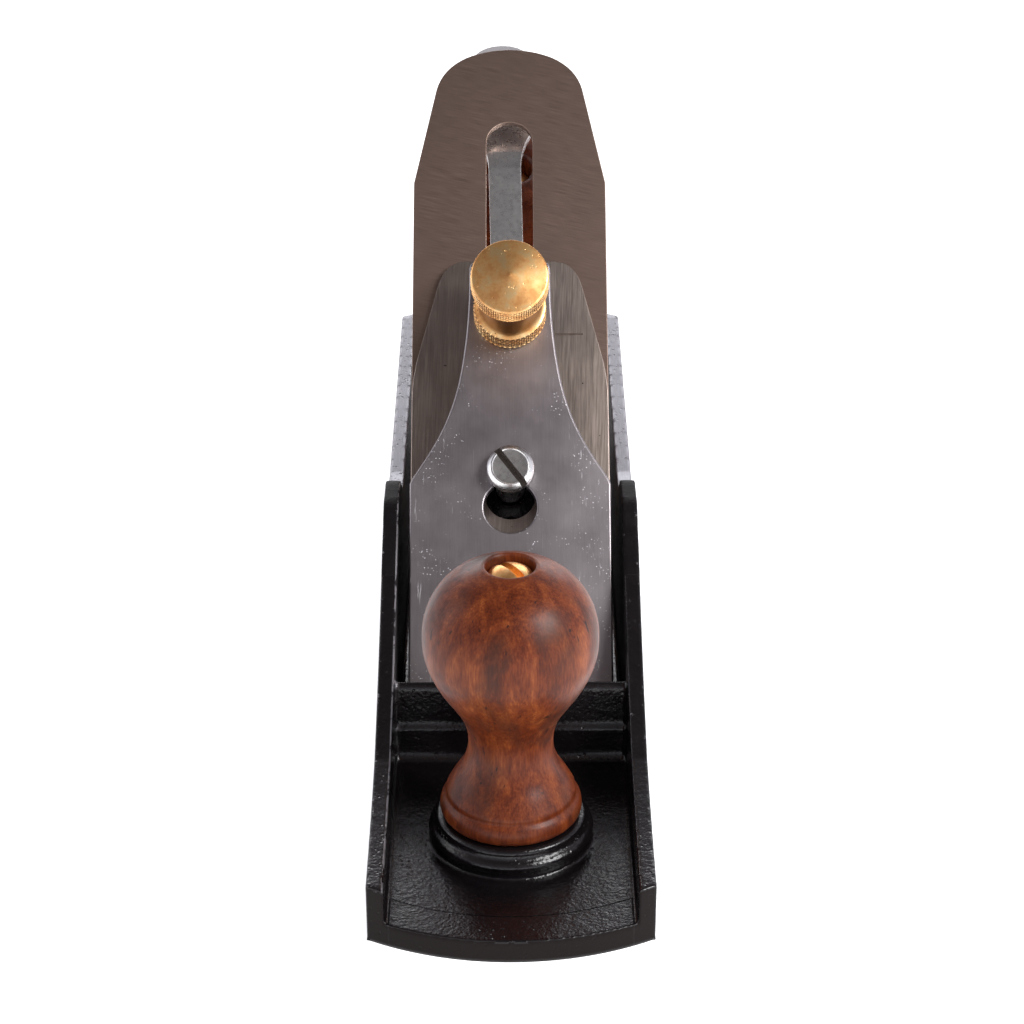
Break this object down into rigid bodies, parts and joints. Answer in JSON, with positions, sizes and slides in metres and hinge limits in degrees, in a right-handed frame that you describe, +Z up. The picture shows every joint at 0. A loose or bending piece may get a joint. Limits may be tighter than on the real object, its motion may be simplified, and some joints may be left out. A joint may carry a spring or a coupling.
{
  "type": "hand plane",
  "caption": "Metal bench plane with a slotted cutting iron on a 45 degree frog, a screw-down lever cap, a turned front knob and a shaped rear handle.",
  "frame": {"origin": "centre of the bounding box at the sole's underside", "axes": "+Z up from the sole, +Y along the sole from toe to heel, +X to the right when seen from the toe"},
  "size_m": [0.0636, 0.25, 0.1376],
  "materials": {
    "japanned_iron": "glossy black japanning over sand-cast iron",
    "iron_steel": "ground steel with fine slanted grinding lines",
    "cap_iron_steel": "brushed steel",
    "lever_cap_steel": "satin plated, lightly pitted, bright edges",
    "polished_steel": "polished steel",
    "blued_steel": "dark oiled steel",
    "brass": "tarnished brass",
    "handle_wood": "satin varnished hardwood"
  },
  "bodies": {
    "casting": {"body_casting": "japanned_iron", "front_knob": "handle_wood", "knob_rod": "polished_steel", "knob_nut": "brass", "tote": "handle_wood", "tote_rod": "polished_steel", "tote_nut": "brass", "tote_toe_screw": "brass", "frog_screw_left": "polished_steel", "frog_screw_right": "polished_steel", "frog_washer_left": "polished_steel", "frog_washer_right": "polished_steel"},
    "frog": {"frog": "japanned_iron", "frog_adjusting_clip": "blued_steel", "clip_screw": "polished_steel", "depth_stud": "polished_steel", "yoke_pin": "polished_steel", "lateral_rivet": "polished_steel", "lever_cap_screw": "polished_steel"},
    "frog_adjuster": {"frog_adjusting_screw": "polished_steel"},
    "depth_adjuster": {"depth_nut": "brass"},
    "yoke": {"yoke_lever": "blued_steel"},
    "lateral": {"lateral_lever": "polished_steel"},
    "lateral_roller": {"lateral_disc": "polished_steel"},
    "iron_carrier": {"cap_iron_screw": "polished_steel"},
    "irons": {"cutting_iron": "iron_steel", "cap_iron": "cap_iron_steel"},
    "lever_cap": {"lever_cap": "lever_cap_steel"},
    "thumb_screw": {"thumb_screw": "brass"}
  },
  "joints": [
    {"name": "frog_slide", "type": "slide", "parent": "casting", "child": "frog", "axis": [0, -1, 0], "range_m": [0, 0.0012]},
    {"name": "frog_adjuster_spin", "type": "hinge", "parent": "frog", "child": "frog_adjuster", "pos_m": [0, 0.0155, 0.0105], "axis": [0, 1, 0], "range_deg": [0, 480]},
    {"name": "depth_nut_spin", "type": "hinge", "parent": "frog", "child": "depth_adjuster", "pos_m": [0, 0.03, 0.036], "axis": [0, 1, 0], "range_deg": [-540, 270]},
    {"name": "yoke_swing", "type": "hinge", "parent": "frog", "child": "yoke", "pos_m": [0, 0.02558, 0.0502], "axis": [1, 0, 0], "range_deg": [-7, 4]},
    {"name": "iron_slide", "type": "slide", "parent": "frog", "child": "iron_carrier", "axis": [0, -0.7071, -0.7071], "range_m": [-0.0015, 0.00075]},
    {"name": "iron_skew", "type": "hinge", "parent": "iron_carrier", "child": "irons", "pos_m": [0, -0.00694, 0.03535], "axis": [0, -0.7071, 0.7071], "range_deg": [-1.5, 1.5]},
    {"name": "lateral_lever_swing", "type": "hinge", "parent": "frog", "child": "lateral", "pos_m": [0, 0.03357, 0.0705], "axis": [0, -0.7071, 0.7071], "range_deg": [-6.5, 4.5]},
    {"name": "lateral_disc_spin", "type": "hinge", "parent": "lateral", "child": "lateral_roller", "pos_m": [0.00023, 0.02452, 0.06541], "axis": [0, -0.7071, 0.7071], "continuous": true},
    {"name": "lever_cap_slide", "type": "slide", "parent": "frog", "child": "lever_cap", "axis": [0, 0.7071, 0.7071], "range_m": [0, 0.0089]},
    {"name": "thumb_screw_spin", "type": "hinge", "parent": "lever_cap", "child": "thumb_screw", "pos_m": [0, 0.02351, 0.09012], "axis": [0, -0.7547, 0.6561], "range_deg": [0, 1080]}
  ],
  "couplings": [
    {"joint": "frog_adjuster_spin", "follows": "frog_slide", "rad_per_m": 6981.3},
    {"joint": "depth_nut_spin", "follows": "iron_slide", "rad_per_m": 6100.2},
    {"joint": "yoke_swing", "follows": "iron_slide", "rad_per_m": 72.464},
    {"joint": "iron_skew", "follows": "lateral_lever_swing", "ratio": -0.22989}
  ]
}
